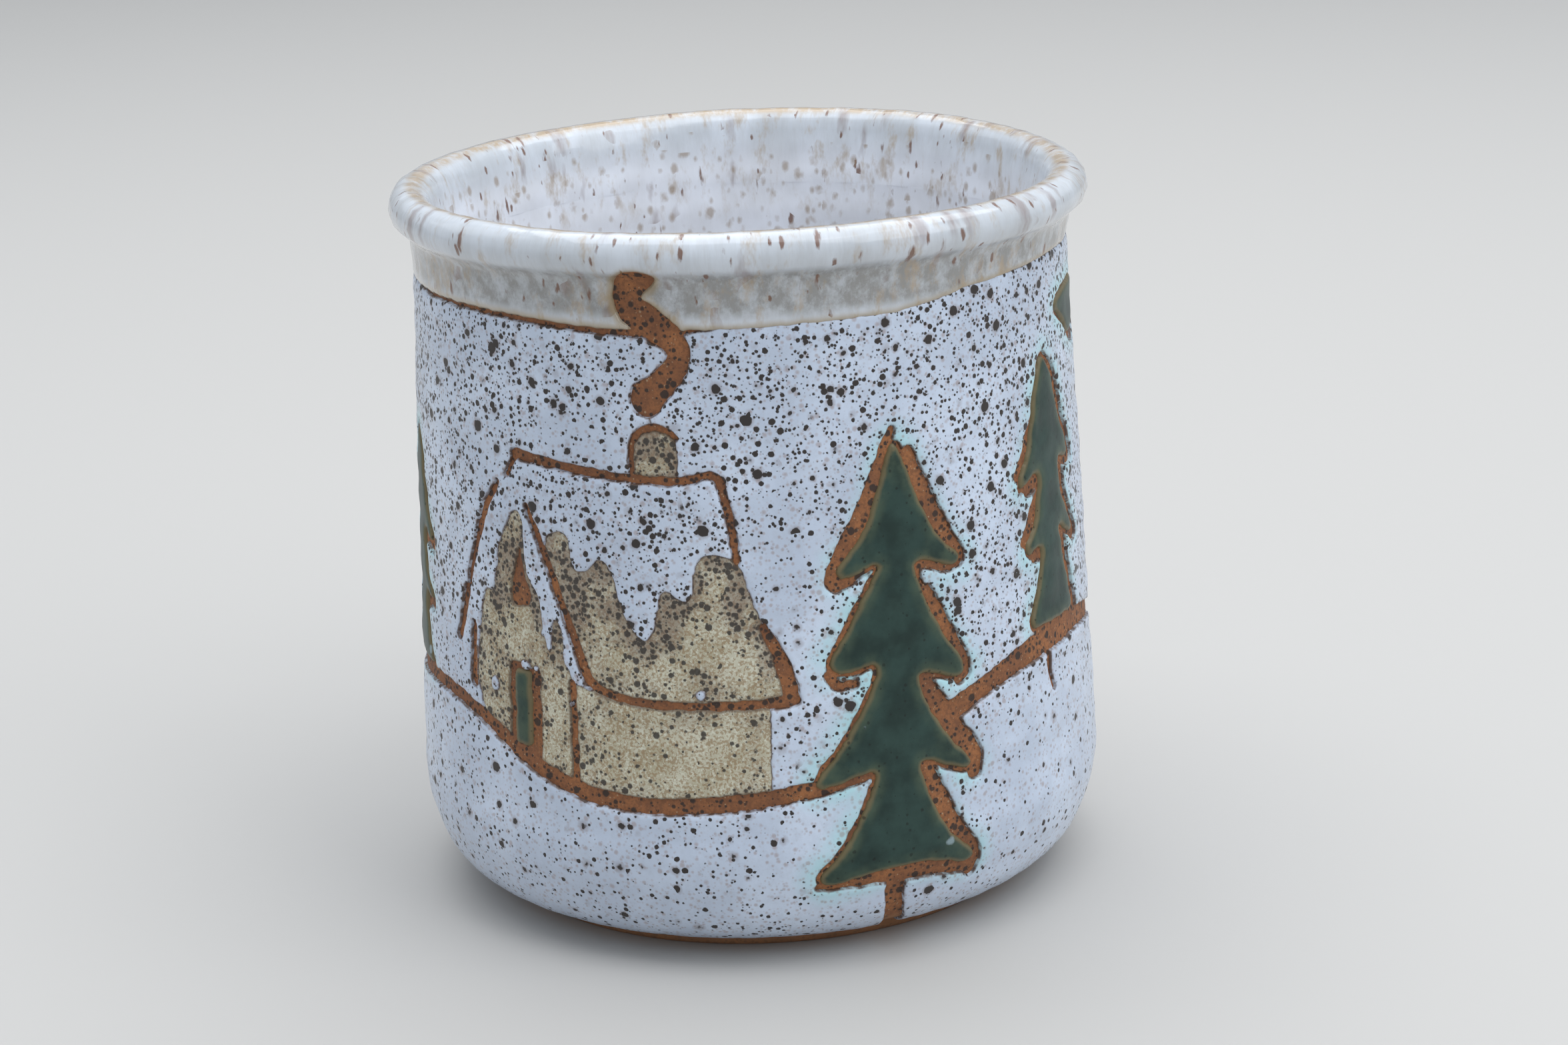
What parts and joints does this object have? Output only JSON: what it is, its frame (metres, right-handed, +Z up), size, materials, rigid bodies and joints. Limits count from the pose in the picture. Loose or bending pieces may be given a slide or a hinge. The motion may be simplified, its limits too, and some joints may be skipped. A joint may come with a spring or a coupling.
{
  "type": "mug",
  "caption": "Hand-thrown stoneware mug with a strap handle, speckled white glaze and a snowy cottage among fir trees.",
  "frame": {"origin": "centre of the foot, on the surface that the mug stands on", "axes": "+Z up along the mug's turning axis, -Y towards the cottage side, +Y towards the handle"},
  "size_m": [0.0926, 0.126, 0.096],
  "materials": {
    "stoneware": "bare fired stoneware, matte",
    "white_glaze": "satin, iron speckled",
    "rim_glaze": "gloss, streaked",
    "ochre_glaze": "dry matte, speckled",
    "green_glaze": "gloss"
  },
  "bodies": {
    "root": {"chimney_glaze": "ochre_glaze", "clay_body": "stoneware", "door_glaze": "green_glaze", "fir_back_left_glaze": "green_glaze", "fir_back_right_glaze": "green_glaze", "fir_bough_glaze": "green_glaze", "fir_front_glaze": "green_glaze", "fir_left_glaze": "green_glaze", "fir_right_glaze": "green_glaze", "gable_wall_glaze": "ochre_glaze", "handle": "stoneware", "handle_glaze": "white_glaze", "liner_glaze": "rim_glaze", "long_wall_glaze": "ochre_glaze", "rim_glaze": "rim_glaze", "roof_glaze": "ochre_glaze", "sky_glaze": "white_glaze", "snow_glaze": "white_glaze"}
  },
  "joints": []
}
